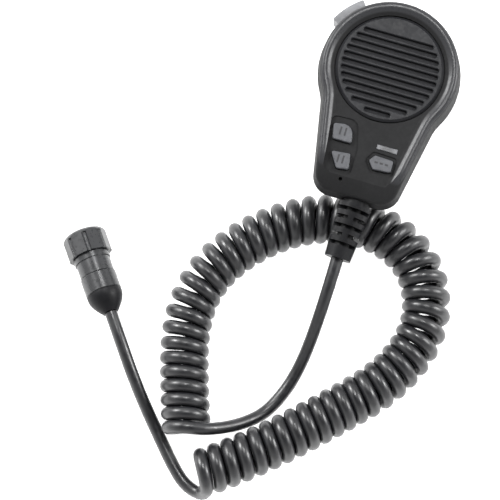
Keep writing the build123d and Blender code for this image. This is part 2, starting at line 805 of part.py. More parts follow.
def make_board_link():
    """The header that joins the main board to the key board."""
    low = MAIN_TOP
    high = KEY_BOARD_TOP - BOARD_T
    with BuildPart() as board_link:
        with BuildSketch(Plane.XZ.offset(5.6)):
            with BuildLine():
                Polyline((-7.4, low), (-2.6, low), (-2.6, low + 2.6), (-7.4, low + 2.6), close=True)
            make_face()
        extrude(amount=2.4)
        with BuildSketch(Plane.YZ.offset(-7.0)):
            with BuildLine():
                Polyline(
                    (-6.6, low + 2.6),
                    (-7.0, low + 2.6),
                    (-14.4, high - 0.4),
                    (-14.4, high),
                    (-14.0, high),
                    (-6.6, low + 3.0),
                    close=True,
                )
            make_face()
        extrude(amount=4.0)
    board_link.part.label = "board_link"
    return board_link.part


# --- push-to-talk key -----------------------------------------------------------------
def make_ptt_key():
    with BuildPart() as ptt_key:
        with BuildSketch(Plane.XY.offset(PTT_LOW)):
            with BuildLine():
                sector_line(PTT_INNER_R, PTT_R, PTT_FROM, PTT_TO)
            make_face()
        extrude(amount=PTT_HIGH - PTT_LOW)
        outside = ptt_key.edges().filter_by(is_outside_of_key)
        fillet(outside, 1.1)
        with Locations((*polar(PTT_PIN_ORBIT, PTT_PIN_AT), PTT_LOW)):
            Cylinder(2.1, PTT_HIGH - PTT_LOW, align=UPWARDS)
        # the nub that presses the switch
        with BuildSketch(Plane.XY.offset(SWITCH_Z + 1.6)):
            with BuildLine():
                sector_line(27.2, PTT_INNER_R + 1, SWITCH_AT - 2.5, SWITCH_AT + 2.5)
            make_face()
        extrude(amount=2.8)
        # room for the spring's coil, and the pin's hole
        with Locations((*polar(PTT_PIN_ORBIT, PTT_PIN_AT), SPRING_Z)):
            Cylinder(2.35, SPRING_T + 0.6, mode=Mode.SUBTRACT)
        with Locations((*polar(PTT_PIN_ORBIT, PTT_PIN_AT), PTT_LOW - 1)):
            Cylinder(PTT_PIN_R + RUNNING, 20, align=UPWARDS, mode=Mode.SUBTRACT)
    ptt_key.part.label = "ptt_key"
    return ptt_key.part


def is_outside_of_key(edge):
    """True for the edges on the push-to-talk key's outer face."""
    middle = edge @ 0.5
    return math.hypot(middle.X, middle.Y - DISC_Y) > PTT_R - 0.2


SPRING_Z = 32.7
SPRING_T = 2.2


def make_ptt_spring():
    """A small torsion spring: its coil is round the pin and its leg lies behind the key."""
    with BuildPart() as ptt_spring:
        pin = polar(PTT_PIN_ORBIT, PTT_PIN_AT)
        with Locations((*pin, SPRING_Z)):
            Cylinder(1.95, SPRING_T)
        with BuildSketch(Plane.XY.offset(SPRING_Z - SPRING_T / 2)):
            with BuildLine():
                sector_line(28.6, 29.2, PTT_PIN_AT + 2.2, PTT_PIN_AT + 13.0)
            make_face()
        extrude(amount=0.6)
        with Locations((*pin, SPRING_Z)):
            Cylinder(1.25, 10, mode=Mode.SUBTRACT)
    ptt_spring.part.label = "ptt_spring"
    return ptt_spring.part


def make_ptt_pin():
    low = PTT_LOW - PTT_SIDE_GAP - PIN_SEAT + 0.2
    high = PTT_HIGH + PIN_SEAT / 2 - 0.2
    with BuildPart() as ptt_pin:
        with Locations((*polar(PTT_PIN_ORBIT, PTT_PIN_AT), low)):
            Cylinder(PTT_PIN_R, high - low, align=UPWARDS)
    ptt_pin.part.label = "ptt_pin"
    return ptt_pin.part


def make_ptt_switch():
    x, y = polar(SWITCH_ORBIT, SWITCH_AT)
    facing = Plane(
        origin=(x, y, SWITCH_Z),
        x_dir=(math.cos(math.radians(SWITCH_AT)), math.sin(math.radians(SWITCH_AT)), 0),
        z_dir=(0, 0, 1),
    )
    with BuildPart() as ptt_switch:
        with BuildSketch(facing):
            Rectangle(3.4, 6.0)
        extrude(amount=6.0)
        with BuildSketch(facing.offset(2.0)):
            with Locations((2.1, 0)):
                Rectangle(0.9, 1.8)
        extrude(amount=2.0)
    ptt_switch.part.label = "ptt_switch"
    return ptt_switch.part


# --- strain relief and what is inside the chin ----------------------------------------
RELIEF_ROOT_R = 7.2     # outside the chin
RELIEF_TIP_R = 5.8
RELIEF_CORE_R = 3.6
RELIEF_START = 5.5      # where its outer body begins, just outside the chin
RELIEF_END = math.dist(RELIEF_IN, RELIEF_TIP)
RELIEF_GROOVES = 5
GROOVE_PITCH = 3.9
GROOVE_WIDTH = 1.7
RIB = 2.6


def make_strain_relief():
    with BuildPart() as strain_relief:
        flange_start, flange_end = RELIEF_FLANGE
        with BuildSketch(relief_plane(flange_start)):
            Circle(RELIEF_FLANGE_R)
        extrude(amount=flange_end - flange_start)
        with BuildSketch(relief_plane(flange_start)):
            Circle(RELIEF_NECK_R - 0.05)
        extrude(amount=RELIEF_START)
        with BuildSketch(relief_plane(RELIEF_START)):
            Circle(RELIEF_ROOT_R)
        with BuildSketch(relief_plane(RELIEF_END)):
            Circle(RELIEF_TIP_R)
        loft()
        for i in range(RELIEF_GROOVES):
            with BuildSketch(relief_plane(RELIEF_START + 2.0 + i * GROOVE_PITCH)) as groove:
                Circle(RELIEF_ROOT_R + 2)
                Circle(RELIEF_CORE_R, mode=Mode.SUBTRACT)
                Rectangle(30, RIB, rotation=90 * (i % 2), mode=Mode.SUBTRACT)
            extrude(amount=GROOVE_WIDTH, mode=Mode.SUBTRACT)
    strain_relief.part.label = "strain_relief"
    return strain_relief.part


def make_inner_lead():
    with BuildPart() as inner_lead:
        with BuildSketch(relief_plane(0.5)):
            Circle(LEAD_R)
        extrude(amount=-6.2)
    inner_lead.part.label = "inner_lead"
    return inner_lead.part


def make_cable_tie():
    with BuildPart() as cable_tie:
        with BuildSketch(relief_plane(-1.0)):
            Circle(LEAD_R + 0.9)
            with Locations((LEAD_R + 0.9, 0)):
                Rectangle(2.6, 3.6)
            Circle(LEAD_R, mode=Mode.SUBTRACT)
        extrude(amount=-2.4)
    cable_tie.part.label = "cable_tie"
    return cable_tie.part


def make_lead_wires():
    """Four thin wires from the stripped end of the cord to the connector."""
    start = relief_plane(-6.1).origin
    end_y = CONNECTOR_AT[1] - 2.3
    with BuildPart() as lead_wires:
        for i in range(4):
            across = -1.5 + i
            with BuildLine() as route:
                FilletPolyline(
                    (start.X + across, start.Y, start.Z - 1.3),
                    (start.X + across, start.Y + 3.0, start.Z - 4.3),
                    (CONNECTOR_AT[0] + across * 1.6, -20.0, 26.6),
                    (CONNECTOR_AT[0] + across * 1.6, end_y, MAIN_TOP + 2.4),
                    radius=2.0,
                )
            with BuildSketch(Plane(origin=route.line @ 0, z_dir=route.line % 0)):
                Circle(0.4)
            sweep(path=route.line)
    lead_wires.part.label = "lead_wires"
    return lead_wires.part


# --- cord -----------------------------------------------------------------------------
def bend_radii(points):
    """The largest bend that each corner of a route has room for."""
    radii = []
    for before, here, after in zip(points, points[1:], points[2:]):
        arriving = Vector(*here) - Vector(*before)
        leaving = Vector(*after) - Vector(*here)
        half_turn = math.radians(arriving.get_angle(leaving)) / 2
        radii.append(0.45 * min(arriving.length, leaving.length) / math.tan(half_turn))
    return radii


def make_tube(name, points, radius):
    radii = bend_radii(points)
    with BuildPart() as tube:
        with BuildLine() as route:
            FilletPolyline(*points, radius=radii)
        with BuildSketch(Plane(origin=route.line @ 0, z_dir=route.line % 0)):
            Circle(radius)
        sweep(path=route.line)
    length = sum(edge.length for edge in route.edges())
    expected = math.pi * radius**2 * length
    print(name, "length", round(length, 1), "mm, bends", [round(r) for r in radii],
          "volume", round(tube.part.volume / expected, 4), "of section times length")
    tube.part.label = name
    return tube.part


# --- plug -----------------------------------------------------------------------------
def plug_plane(distance=0.0):
    """The plug's cross-section, this far from its front towards its tail."""
    pitch = math.radians(PLUG_PITCH)
    heading = math.radians(PLUG_HEADING)
    along = Vector(
        math.cos(heading) * math.cos(pitch),
        math.sin(heading) * math.cos(pitch),
        math.sin(pitch),
    )
    across = Vector(-math.sin(heading), math.cos(heading), 0)
    front = Vector(*PLUG_LEAD[0]) - along * PLUG_LENGTH
    return Plane(origin=front + along * distance, x_dir=across, z_dir=along)


NUT_FLANGE_FROM = 8.8
BARREL_FROM = 11.5
BARREL_TO = 20.6
SPIGOT_R = 6.3
BACKSHELL_FROM = 20.8
BACKSHELL_TO = 29.2
GLAND_FROM = 29.4
INSERT_R = 5.3
CONTACT_R = 0.7
CONTACT_RING_R = 3.4
CONTACTS = 7


def ring(start, end, outer, inner=None):
    """Add a round length of the plug to the part in hand, with a bore if inner is given."""
    with BuildPart() as piece:
        with BuildSketch(plug_plane(start)):
            Circle(outer)
            if inner:
                Circle(inner, mode=Mode.SUBTRACT)
        extrude(amount=end - start)
    return piece.part


def make_plug_nut():
    with BuildPart() as plug_nut:
        add(ring(0, NUT_LENGTH, NUT_R))
        fillet(plug_nut.edges().sort_by(lambda e: (e.center() - plug_plane().origin).length)[0],
               NUT_LEAD_IN)
        # flats all round, with a groove between each two
        with BuildSketch(plug_plane(-1)):
            Circle(NUT_R + 3)
            corner_r = NUT_FLAT / math.cos(math.pi / LOBES)
            RegularPolygon(corner_r, LOBES, mode=Mode.SUBTRACT)
        extrude(amount=NUT_LENGTH + 2, mode=Mode.SUBTRACT)
        with BuildSketch(plug_plane(NUT_LEAD_IN - 0.6)):
            with PolarLocations(NUT_R + 0.2, LOBES):
                Circle(1.15)
        extrude(amount=NUT_LENGTH, mode=Mode.SUBTRACT)
        add(ring(-1, NUT_FLANGE_FROM, 7.9), mode=Mode.SUBTRACT)
        add(ring(0, NUT_LENGTH + 1, 6.6), mode=Mode.SUBTRACT)
    plug_nut.part.label = "plug_nut"
    return plug_nut.part


def make_plug_barrel():
    with BuildPart() as plug_barrel:
        add(ring(7.0, 8.5, 7.6))
        add(ring(8.5, BARREL_FROM, 6.52))
        add(ring(BARREL_FROM, BARREL_FROM + 2.4, 8.05))
        add(ring(BARREL_FROM + 2.4, BARREL_TO, BARREL_R))
        add(ring(BARREL_TO, BARREL_TO + 3.0, SPIGOT_R))
        add(ring(7.0, BARREL_TO + 3.0, INSERT_R), mode=Mode.SUBTRACT)
    plug_barrel.part.label = "plug_barrel"
    return plug_barrel.part


def make_plug_backshell():
    with BuildPart() as plug_backshell:
        add(ring(BACKSHELL_FROM, BACKSHELL_TO, BACKSHELL_R))
        ends = plug_backshell.edges()
        chamfer(ends, 0.35)
        add(ring(BACKSHELL_FROM, BARREL_TO + 3.0, SPIGOT_R), mode=Mode.SUBTRACT)
        add(ring(BACKSHELL_FROM, BACKSHELL_TO, INSERT_R), mode=Mode.SUBTRACT)
    plug_backshell.part.label = "plug_backshell"
    return plug_backshell.part


def make_plug_gland():
    """A black rubber dome that the cord comes out of."""
    with BuildPart() as plug_gland:
        add(ring(BACKSHELL_TO - 2.6, GLAND_FROM, INSERT_R))
        with BuildSketch(plug_plane(GLAND_FROM)):
            Circle(7.85)
        with BuildSketch(plug_plane(GLAND_FROM + 3.2)):
            Circle(7.4)
        with BuildSketch(plug_plane(GLAND_FROM + 6.4)):
            Circle(5.7)
        with BuildSketch(plug_plane(PLUG_LENGTH)):
            Circle(3.5)
        loft()
    plug_gland.part.label = "plug_gland"
    return plug_gland.part


def contact_points():
    """The contacts' places on the plug's cross-section."""
    ring_points = [
        (CONTACT_RING_R * math.cos(math.tau * i / CONTACTS),
         CONTACT_RING_R * math.sin(math.tau * i / CONTACTS))
        for i in range(CONTACTS)
    ]
    return ring_points + [(0.0, 0.0)]


def make_plug_insert():
    with BuildPart() as plug_insert:
        add(ring(2.6, 14.0, INSERT_R))
        with BuildSketch(plug_plane(2.0)):
            with Locations(*contact_points()):
                Circle(CONTACT_R)
        extrude(amount=14.0, mode=Mode.SUBTRACT)
    plug_insert.part.label = "plug_insert"
    return plug_insert.part


def make_plug_contacts():
    with BuildPart() as plug_contacts:
        with BuildSketch(plug_plane(3.0)):
            with Locations(*contact_points()):
                Circle(CONTACT_R)
                Circle(0.35, mode=Mode.SUBTRACT)
        extrude(amount=12.5)
    plug_contacts.part.label = "plug_contacts"
    return plug_contacts.part


def make_plug_seal():
    part = ring(6.2, 6.98, 7.3, INSERT_R)
    part.label = "plug_seal"
    return part


def make_plug_wires():
    with BuildPart() as plug_wires:
        with BuildSketch(plug_plane(15.5)):
            with Locations(*contact_points()):
                Circle(0.35)
        extrude(amount=BACKSHELL_TO - 2.6 - 15.5)
    plug_wires.part.label = "plug_wires"
    return plug_wires.part


# --- build everything -----------------------------------------------------------------
COIL_ROUTE = [(x, y, COIL_Z) for x, y in COIL_PLAN]


def all_parts():
    yield make_front_shell()
    yield make_rear_shell()
    yield make_case_gasket()
    yield make_case_screws()
    yield make_hanger_stud()
    yield make_stud_screw()
    yield make_speaker_grille()
    yield make_grille_cloth()
    yield make_speaker_gasket()
    yield make_speaker_frame()
    yield make_speaker_cone()
    yield make_speaker_magnet()
    for name in KEYS:
        yield make_key(name)
        yield make_dome(name)
    yield make_key_board()
    yield make_key_contacts()
    yield make_key_membrane()
    yield make_key_board_screws()
    yield make_legend_bar()
    yield make_mic_capsule()
    yield make_mic_boot()
    yield make_main_board()
    yield make_board_chips()
    yield make_main_board_screws()
    yield make_lead_connector()
    yield make_board_link()
    yield make_ptt_key()
    yield make_ptt_spring()
    yield make_ptt_pin()
    yield make_ptt_switch()
    yield make_strain_relief()
    yield make_inner_lead()
    yield make_cable_tie()
    yield make_lead_wires()
    yield make_tube("mic_lead", MIC_LEAD, LEAD_R)
    yield make_tube("curly_cord", COIL_ROUTE, COIL_D / 2)
    yield make_tube("plug_lead", PLUG_LEAD, LEAD_R)
    yield make_plug_nut()
    yield make_plug_barrel()
    yield make_plug_backshell()
    yield make_plug_gland()
    yield make_plug_insert()
    yield make_plug_contacts()
    yield make_plug_seal()
    yield make_plug_wires()


os.makedirs("parts", exist_ok=True)
for piece in all_parts():
    export_step(piece, f"parts/{piece.label}.step")
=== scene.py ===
import json
import math
import bpy
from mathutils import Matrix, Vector


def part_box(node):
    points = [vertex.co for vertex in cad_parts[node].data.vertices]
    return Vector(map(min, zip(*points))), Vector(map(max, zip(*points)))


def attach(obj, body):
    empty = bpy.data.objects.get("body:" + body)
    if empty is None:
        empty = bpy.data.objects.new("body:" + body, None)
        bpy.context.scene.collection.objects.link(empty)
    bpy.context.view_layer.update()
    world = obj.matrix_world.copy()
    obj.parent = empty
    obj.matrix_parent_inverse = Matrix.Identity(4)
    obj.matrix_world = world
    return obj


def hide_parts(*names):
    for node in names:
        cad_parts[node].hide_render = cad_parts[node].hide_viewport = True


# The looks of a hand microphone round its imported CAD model: the camera, the materials, the
# marks on the keys, the curly cord, and the lights and floor. Lengths are in metres.

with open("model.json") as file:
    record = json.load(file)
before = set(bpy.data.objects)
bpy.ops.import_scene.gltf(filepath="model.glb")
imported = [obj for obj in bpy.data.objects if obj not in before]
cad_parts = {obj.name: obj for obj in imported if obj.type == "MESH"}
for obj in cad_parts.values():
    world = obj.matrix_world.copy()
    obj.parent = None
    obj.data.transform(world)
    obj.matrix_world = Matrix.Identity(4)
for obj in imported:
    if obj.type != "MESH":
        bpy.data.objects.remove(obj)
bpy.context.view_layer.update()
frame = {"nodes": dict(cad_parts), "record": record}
MM = 0.001
UP = Vector((0, 0, 1))

# --- camera ---------------------------------------------------------------------------
VIEW_AIM = Vector((-0.03817, -0.07187, 0.0))      # the place on the table in the picture's middle
VIEW_TILT = math.radians(11.525)                  # from straight down
VIEW_TURN = math.radians(16.331)                  # the picture's top, from +Y towards -X
VIEW_DISTANCE = 2.526
VIEW_LENS = 414.0                                 # mm, on a 36 mm sensor


def make_camera():
    looking = Vector((
        -math.sin(VIEW_TILT) * math.sin(VIEW_TURN),
        math.sin(VIEW_TILT) * math.cos(VIEW_TURN),
        -math.cos(VIEW_TILT),
    ))
    camera = bpy.data.objects.new("camera", bpy.data.cameras.new("camera"))
    camera.data.lens = VIEW_LENS
    camera.data.sensor_width = 36.0
    camera.data.clip_end = 20.0
    camera.location = VIEW_AIM - looking * VIEW_DISTANCE
    camera.rotation_mode = "QUATERNION"
    camera.rotation_quaternion = looking.to_track_quat("-Z", "Y")
    bpy.context.scene.collection.objects.link(camera)
    bpy.context.scene.camera = camera


# --- node helpers ---------------------------------------------------------------------
class Nodes:
    """A material with short calls to add nodes to it and to join them."""

    def __init__(self, name, colour, roughness, metallic=0.0):
        self.material = bpy.data.materials.new(name)
        self.material.use_nodes = True
        self.material.diffuse_color = (*colour, 1.0)
        self.tree = self.material.node_tree
        self.shader = self.tree.nodes["Principled BSDF"]
        self.shader.inputs["Base Color"].default_value = (*colour, 1.0)
        self.shader.inputs["Roughness"].default_value = roughness
        self.shader.inputs["Metallic"].default_value = metallic
        self.place = self.tree.nodes.new("ShaderNodeTexCoord").outputs["Object"]

    def join(self, source, target):
        self.tree.links.new(source, target)

    def noise(self, scale, detail=3.0, rough=0.55):
        node = self.tree.nodes.new("ShaderNodeTexNoise")
        node.inputs["Scale"].default_value = scale
        node.inputs["Detail"].default_value = detail
        node.inputs["Roughness"].default_value = rough
        self.join(self.place, node.inputs["Vector"])
        return node.outputs["Fac"]

    def cells(self, scale):
        node = self.tree.nodes.new("ShaderNodeTexVoronoi")
        node.inputs["Scale"].default_value = scale
        self.join(self.place, node.inputs["Vector"])
        return node.outputs["Distance"]

    def ramp(self, value, low, high, to_low=0.0, to_high=1.0):
        """value from low to high, mapped smoothly to to_low and to_high."""
        node = self.tree.nodes.new("ShaderNodeMapRange")
        node.interpolation_type = "SMOOTHSTEP"
        for socket, number in zip(node.inputs[1:5], (low, high, to_low, to_high)):
            socket.default_value = number
        self.join(value, node.inputs["Value"])
        return node.outputs["Result"]

    def math(self, operation, a, b):
        node = self.tree.nodes.new("ShaderNodeMath")
        node.operation = operation
        for socket, value in zip(node.inputs, (a, b)):
            if isinstance(value, (int, float)):
                socket.default_value = value
            else:
                self.join(value, socket)
        return node.outputs["Value"]

    def mix(self, share, a, b):
        """A colour between a and b, each a colour or a socket."""
        node = self.tree.nodes.new("ShaderNodeMix")
        node.data_type = "RGBA"
        self.join(share, node.inputs["Factor"])
        for socket, value in ((node.inputs[6], a), (node.inputs[7], b)):
            if isinstance(value, tuple):
                socket.default_value = (*value, 1.0)
            else:
                self.join(value, socket)
        return node.outputs[2]

    def part_of_place(self, axis):
        node = self.tree.nodes.new("ShaderNodeSeparateXYZ")
        self.join(self.place, node.inputs["Vector"])
        return node.outputs[axis]

    def colour(self, socket):
        self.join(socket, self.shader.inputs["Base Color"])

    def roughness(self, socket):
        self.join(socket, self.shader.inputs["Roughness"])

    def bump(self, height, strength, distance):
        node = self.tree.nodes.new("ShaderNodeBump")
        node.inputs["Strength"].default_value = strength
        node.inputs["Distance"].default_value = distance
        self.join(height, node.inputs["Height"])
        self.join(node.outputs["Normal"], self.shader.inputs["Normal"])


def shade(colour, factor):
    return tuple(min(1.0, c * factor) for c in colour)


# --- materials ------------------------------------------------------------------------
RIM_FROM = 0.0428       # the rim crest's gloss and painted highlight (a paler colour) start at this height
RIM_FULL = 0.0434       # and is complete at this one


def case_plastic():
    """Black moulded plastic: matt and sparked on the panel, glossier on the raised rim, where a
    paler colour is a painted highlight.
    """
    black = (0.0062, 0.0063, 0.0068)
    m = Nodes("case_plastic", black, 0.5)
    m.shader.inputs["Specular IOR Level"].default_value = 0.28
    rim = m.ramp(m.part_of_place("Z"), RIM_FROM, RIM_FULL)
    patch = m.ramp(m.noise(55.0, 4.0), 0.35, 0.7)
    panel = m.mix(patch, black, shade(black, 1.5))
    # painted highlight: the rim's crest is coloured five times paler than the panel, standing for
    # the light it catches
    m.colour(m.mix(rim, panel, shade(black, 5.0)))
    matt = m.ramp(rim, 0.0, 1.0, 0.72, 0.30)
    m.roughness(m.math("ADD", matt, m.ramp(m.noise(700.0), 0.3, 0.7, -0.04, 0.04)))
    m.bump(m.noise(2600.0, 3.0), 0.12, 0.00004)
    return m.material


def side_plastic():
    """The rear shell: the same black plastic, a little matter."""
    black = (0.008, 0.0082, 0.0095)
    m = Nodes("rear_plastic", black, 0.5)
    m.shader.inputs["Specular IOR Level"].default_value = 0.2
    patch = m.ramp(m.noise(40.0, 4.0), 0.35, 0.7)
    m.colour(m.mix(patch, black, shade(black, 1.3)))
    m.roughness(m.ramp(m.noise(700.0), 0.3, 0.7, 0.44, 0.56))
    m.bump(m.cells(2200.0), 0.2, 0.00006)
    return m.material


def grille_plastic():
    """The speaker's grille: satin slats, a shade greyer than the casing."""
    grey = (0.011, 0.0113, 0.013)
    m = Nodes("grille_plastic", grey, 0.44)
    m.shader.inputs["Specular IOR Level"].default_value = 0.22
    patch = m.ramp(m.noise(70.0, 4.0), 0.35, 0.7)
    m.colour(m.mix(patch, grey, shade(grey, 1.35)))
    m.roughness(m.ramp(m.noise(800.0), 0.3, 0.7, 0.40, 0.50))
    m.bump(m.noise(2800.0, 3.0), 0.08, 0.00003)
    return m.material


def key_rubber():
    grey = (0.060, 0.062, 0.069)
    m = Nodes("key_rubber", grey, 0.5)
    patch = m.ramp(m.noise(260.0, 4.0), 0.3, 0.7)
    m.colour(m.mix(patch, shade(grey, 0.85), shade(grey, 1.15)))
    m.roughness(m.ramp(m.noise(1500.0), 0.3, 0.7, 0.44, 0.58))
    m.bump(m.noise(3500.0, 2.0), 0.2, 0.00005)
    return m.material


def mark_ink():
    dark = (0.012, 0.012, 0.014)
    m = Nodes("mark_ink", dark, 0.6)
    m.colour(m.mix(m.noise(2500.0), dark, shade(dark, 1.8)))
    return m.material


def ptt_plastic():
    grey = (0.17, 0.173, 0.183)
    m = Nodes("ptt_plastic", grey, 0.45)
    patch = m.ramp(m.noise(120.0, 4.0), 0.3, 0.7)
    m.colour(m.mix(patch, shade(grey, 0.9), shade(grey, 1.08)))
    m.roughness(m.ramp(m.noise(900.0), 0.3, 0.7, 0.40, 0.52))
    m.bump(m.cells(2400.0), 0.15, 0.00005)
    return m.material


def legend_plastic():
    """The lamp bar over the menu key, which gives no light: both ends are coloured brighter, a
    painted glow of a lit window.
    """
    pale = (0.062, 0.064, 0.070)
    low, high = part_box("legend_bar")
    m = Nodes("legend_plastic", pale, 0.35)
    from_middle = m.math("SUBTRACT", m.part_of_place("X"), (low.x + high.x) / 2)
    # painted glow: the colour brightens from the bar's middle towards both ends
    ends = m.ramp(m.math("ABSOLUTE", from_middle, 0.0), 0.0012, 0.0042)
    m.colour(m.mix(ends, shade(pale, 0.55), shade(pale, 1.5)))
    m.bump(m.noise(1800.0), 0.1, 0.00004)
    return m.material


def cord_jacket():
    """Black jacket: faintly drawn along its length, with dust in its fine grain."""
    black = (0.0075, 0.0077, 0.0090)
    m = Nodes("cord_jacket", black, 0.34)
    m.shader.inputs["Specular IOR Level"].default_value = 0.75
    patch = m.ramp(m.noise(160.0, 5.0), 0.35, 0.7)
    dust = m.ramp(m.noise(1400.0, 3.0), 0.55, 0.8)
    base = m.mix(patch, black, shade(black, 1.6))
    m.colour(m.mix(dust, base, shade(black, 2.2)))
    m.roughness(m.ramp(m.noise(420.0, 4.0), 0.3, 0.7, 0.29, 0.44))
    m.bump(m.noise(1100.0, 4.0), 0.22, 0.00009)
    return m.material


def soft_rubber():
    black = (0.0050, 0.0051, 0.0060)
    m = Nodes("soft_rubber", black, 0.46)
    m.shader.inputs["Specular IOR Level"].default_value = 0.2
    patch = m.ramp(m.noise(140.0, 4.0), 0.3, 0.7)
    m.colour(m.mix(patch, black, shade(black, 1.5)))
    m.roughness(m.ramp(m.noise(900.0), 0.3, 0.7, 0.40, 0.54))
    m.bump(m.noise(2200.0), 0.2, 0.00007)
    return m.material


def plug_metal():
    """Black chrome plate: dark and glossy."""
    grey = (0.024, 0.025, 0.027)
    m = Nodes("plug_metal", grey, 0.26, metallic=0.25)
    m.shader.inputs["Specular IOR Level"].default_value = 0.8
    patch = m.ramp(m.noise(90.0, 4.0), 0.3, 0.7)
    m.colour(m.mix(patch, shade(grey, 0.8), shade(grey, 1.25)))
    m.roughness(m.ramp(m.noise(600.0, 4.0), 0.3, 0.7, 0.26, 0.34))
    m.bump(m.noise(2600.0, 3.0), 0.08, 0.00004)
    return m.material


def plain_metal(name, colour, roughness):
    m = Nodes(name, colour, roughness, metallic=1.0)
    m.colour(m.mix(m.ramp(m.noise(300.0), 0.3, 0.7), shade(colour, 0.85), colour))
    m.roughness(m.ramp(m.noise(900.0), 0.3, 0.7, roughness - 0.06, roughness + 0.08))
    m.bump(m.noise(3000.0), 0.08, 0.00003)
    return m.material


def plain_moulding(name, colour, roughness):
    m = Nodes(name, colour, roughness)
    m.colour(m.mix(m.ramp(m.noise(200.0), 0.3, 0.7), shade(colour, 0.85), shade(colour, 1.1)))
    m.roughness(m.ramp(m.noise(900.0), 0.3, 0.7, roughness - 0.06, roughness + 0.06))
    m.bump(m.noise(2600.0), 0.12, 0.00004)
    return m.material


def cloth_weave():
    """Dust cloth: crossing threads a quarter of a millimetre apart."""
    thread_pitch = 0.25 * MM
    black = (0.006, 0.006, 0.007)
    m = Nodes("cloth_weave", black, 0.9)
    heights = []
    for axis in ("X", "Y"):
        turns = m.math("MULTIPLY", m.part_of_place(axis), math.tau / thread_pitch)
        heights.append(m.math("SINE", turns, 0.0))
    threads = m.math("MULTIPLY", *heights)
    # painted shade and highlight: the weave's hollows are coloured darker and the thread crowns
    # paler, following the bump's heights
    m.colour(m.mix(m.ramp(threads, -1.0, 1.0), black, shade(black, 3.0)))
    m.bump(threads, 0.5, 0.00005)
    return m.material


def make_materials():
    """The Blender material of each of the record's material slots."""
    return {
        "case_plastic": case_plastic(),
        "grille_plastic": grille_plastic(),
        "key_rubber": key_rubber(),
        "ptt_plastic": ptt_plastic(),
        "legend_plastic": legend_plastic(),
        "cord_jacket": cord_jacket(),
        "soft_rubber": soft_rubber(),
        "dome_rubber": plain_moulding("dome_rubber", (0.45, 0.45, 0.43), 0.6),
        "steel": plain_metal("steel", (0.5, 0.5, 0.5), 0.35),
        "nickel": plain_metal("nickel", (0.6, 0.6, 0.61), 0.22),
        "plug_metal": plug_metal(),
        "brass": plain_metal("brass", (0.75, 0.55, 0.25), 0.3),
        "magnet": plain_metal("magnet", (0.3, 0.3, 0.31), 0.45),
        "cone_film": plain_moulding("cone_film", (0.05, 0.05, 0.055), 0.5),
        "cloth": cloth_weave(),
        "circuit_board": plain_moulding("circuit_board", (0.02, 0.16, 0.07), 0.35),
        "chip_plastic": plain_moulding("chip_plastic", (0.02, 0.02, 0.02), 0.45),
        "connector_plastic": plain_moulding("connector_plastic", (0.5, 0.48, 0.42), 0.5),
        "wire_plastic": plain_moulding("wire_plastic", (0.4, 0.06, 0.05), 0.4),
    }


def dress_cad_nodes(materials):
    slots = {row["node"]: row["material_slot"] for row in frame["record"]["subparts"]}
    for name, node in frame["nodes"].items():
        node.data.materials.clear()
        node.data.materials.append(materials[slots[name]])
    frame["nodes"]["rear_shell"].data.materials[0] = side_plastic()


# --- marks on the keys ----------------------------------------------------------------
MARK_LIFT = 0.02 * MM       # how far the ink lies above a key's top


def make_mark(name, key, body, outlines, material):
    """Flat inked shapes on a key's top: outlines are lists of places from its middle, in mm."""
    low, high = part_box(key)
    middle = (low + high) / 2
    top = high.z + MARK_LIFT
    corners = []
    faces = []
    for outline in outlines:
        first = len(corners)
        corners += [(middle.x + x * MM, middle.y + y * MM, top) for x, y in outline]
        faces.append(list(range(first, len(corners))))
    mesh = bpy.data.meshes.new(name)
    mesh.from_pydata(corners, [], faces)
    mark = bpy.data.objects.new(name, mesh)
    bpy.context.scene.collection.objects.link(mark)
    mesh.materials.append(material)
    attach(mark, body)


def block(x, y, width, height):
    """The corners of an upright rectangle round a place."""
    a = width / 2
    b = height / 2
    return [(x - a, y - b), (x + a, y - b), (x + a, y + b), (x - a, y + b)]


def make_marks():
    ink = mark_ink()
    bars = [block(x, 0.4, 0.75, 3.6) for x in (-1.1, 1.1)]
    make_mark("up_mark", "up_key", "up_button", bars, ink)
    make_mark("down_mark", "down_key", "down_button", bars, ink)
    dashes = [block(x, 0.2, 1.5, 0.8) for x in (-2.1, 0.2, 2.5)]
    make_mark("menu_mark", "menu_key", "menu_button", dashes, ink)


# --- cord -----------------------------------------------------------------------------
CORD_D = 5.5 * MM
COIL_R = 7.79 * MM                  # from the coil's axis to the cord's own middle
COIL_SWELL = 1.09                   # how much thicker the jacket is drawn where it is wound
COIL_Z = 10.85 * MM
TIGHT_PITCH = 5.55 * MM             # of turns that lie side by side
TURN_POINTS = 16
BEND_REACH = 6                      # route points on each side that a bend is measured over
MOST_SQUEEZE = 0.6                  # least share of a turn's pitch left inside a bend
LAST_PART_TURN = 0.25               # past the top, where the plug's lead leaves the coil
# How loose the turns are along the coil, from its start at the microphone's lead: pairs of
# the share of the coil's length and the gap that is added to each turn.
LOOSENESS = [(0.0, 0.50 * MM), (0.3, 0.12 * MM), (0.7, 0.0), (1.0, 0.8 * MM)]

MIC_LEAD = [
    (0.0009, -0.0705, 0.0289),
    (0.0008, -0.0825, 0.0276),
    (0.0002, -0.0955, 0.0215),
    (-0.0009, -0.1077, 0.0118),
    (-0.0029, -0.1196, 0.0048),
    (-0.0063, -0.1304, 0.0028),
    (-0.0116, -0.1407, 0.0029),
    (-0.0190, -0.1480, 0.0070),
    (-0.0266, -0.1534, 0.0130),
    (-0.0340, -0.1570, 0.0176),
    (-0.0414, -0.1590, 0.01885),
]
COIL_PLAN = [
    (-0.0416, -0.1584),
    (-0.0488, -0.1380),
    (-0.0555, -0.1130),
    (-0.0538, -0.0925),
    (-0.0432, -0.0740),
    (-0.0248, -0.0576),
    (-0.0044, -0.0488),
    (0.0168, -0.0492),
    (0.0346, -0.0582),
    (0.0444, -0.0758),
    (0.0446, -0.0940),
    (0.0355, -0.1140),
    (0.0185, -0.1320),
    (0.0000, -0.1503),
    (-0.0170, -0.1652),
    (-0.0305, -0.1753),
]
